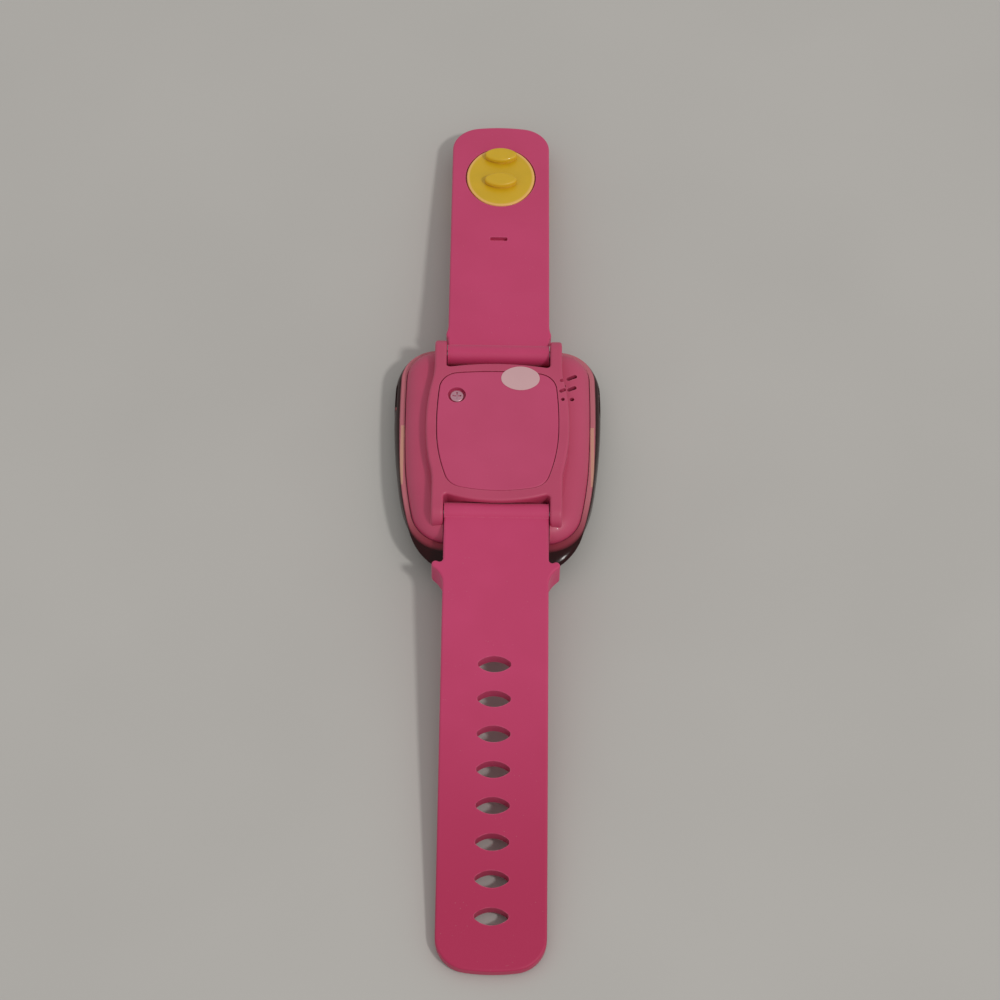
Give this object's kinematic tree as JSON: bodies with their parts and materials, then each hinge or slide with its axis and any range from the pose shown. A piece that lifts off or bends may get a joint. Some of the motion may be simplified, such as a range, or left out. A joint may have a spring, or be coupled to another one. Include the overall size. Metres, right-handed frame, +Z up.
{
  "type": "toy watch",
  "caption": "Toy wristwatch lying face down: shield-shaped case with clear rim, wrist pad with battery door, pinned soft straps, row of oval holes and a two-prong stud clasp.",
  "frame": {"origin": "on the front window's outer face, the plane the watch rests on, midway between the strap pins", "axes": "+Z up, out of the side that meets the wrist; +Y along the clasp strap; X across the case"},
  "size_m": [0.0482, 0.2239, 0.0143],
  "materials": {
    "clear_bezel": "gloss",
    "dark_window": "gloss",
    "display": "gloss",
    "camera_glass": "gloss",
    "black_plastic": "matte",
    "pink_plastic": "satin",
    "grey_silicone": "matte",
    "foil_wrap": "satin",
    "white_plastic": "matte",
    "red_wire": "satin",
    "sticker_paper": "matte",
    "plated_steel": "satin",
    "board_green": "satin",
    "tinned_steel": "satin",
    "button_pink": "gloss",
    "cover_rubber": "satin",
    "yellow_plastic": "satin",
    "strap_rubber": "satin"
  },
  "bodies": {
    "case": {"front_bezel": "clear_bezel", "front_lens": "dark_window", "display_module": "display", "camera_window": "camera_glass", "camera_module": "black_plastic", "mid_frame": "pink_plastic", "back_shell": "pink_plastic", "door_seal": "grey_silicone", "battery_pack": "foil_wrap", "battery_connector": "white_plastic", "battery_lead": "red_wire", "case_screws": "plated_steel", "main_circuit_board": "board_green", "processor_shield": "tinned_steel", "microphone": "tinned_steel", "speaker": "black_plastic", "speaker_gasket": "grey_silicone", "home_switch": "tinned_steel", "side_switch": "tinned_steel", "charging_socket": "tinned_steel", "case_gasket": "grey_silicone", "accent_strip_right": "yellow_plastic", "accent_strip_left": "yellow_plastic", "upper_strap_pin": "plated_steel", "lower_strap_pin": "plated_steel"},
    "battery_door": {"battery_door": "pink_plastic", "inspection_sticker": "sticker_paper"},
    "door_screw": {"door_screw": "plated_steel"},
    "clasp_strap": {"clasp_strap": "strap_rubber", "clasp_stud": "yellow_plastic", "clasp_cap": "yellow_plastic"},
    "hole_strap": {"hole_strap": "strap_rubber"},
    "home_button": {"home_button": "button_pink"},
    "side_button": {"side_button": "button_pink"},
    "port_cover": {"port_cover": "cover_rubber"}
  },
  "joints": [
    {"name": "clasp_strap_hinge", "type": "hinge", "parent": "case", "child": "clasp_strap", "pos_m": [0, 0.0218, 0.0109], "axis": [1, 0, 0], "range_deg": [0, 90]},
    {"name": "hole_strap_hinge", "type": "hinge", "parent": "case", "child": "hole_strap", "pos_m": [0, -0.0218, 0.0109], "axis": [-1, 0, 0], "range_deg": [0, 68]},
    {"name": "battery_door_lift", "type": "slide", "parent": "case", "child": "battery_door", "axis": [0, 0, 1], "range_m": [0, 0.012]},
    {"name": "door_screw_turn", "type": "hinge", "parent": "battery_door", "child": "door_screw", "pos_m": [-0.0095, 0.0083, 0.01305], "axis": [0, 0, 1], "continuous": true},
    {"name": "home_button_press", "type": "slide", "parent": "case", "child": "home_button", "axis": [0, 0, 1], "range_m": [0, 0.0005], "stiffness_N_per_m": 1500},
    {"name": "side_button_press", "type": "slide", "parent": "case", "child": "side_button", "axis": [-1, 0, 0], "range_m": [0, 0.0005], "stiffness_N_per_m": 1500},
    {"name": "port_cover_swing", "type": "hinge", "parent": "case", "child": "port_cover", "pos_m": [-0.02295, 0.01565, 0.0048], "axis": [0, 0, -1], "range_deg": [0, 90]}
  ]
}
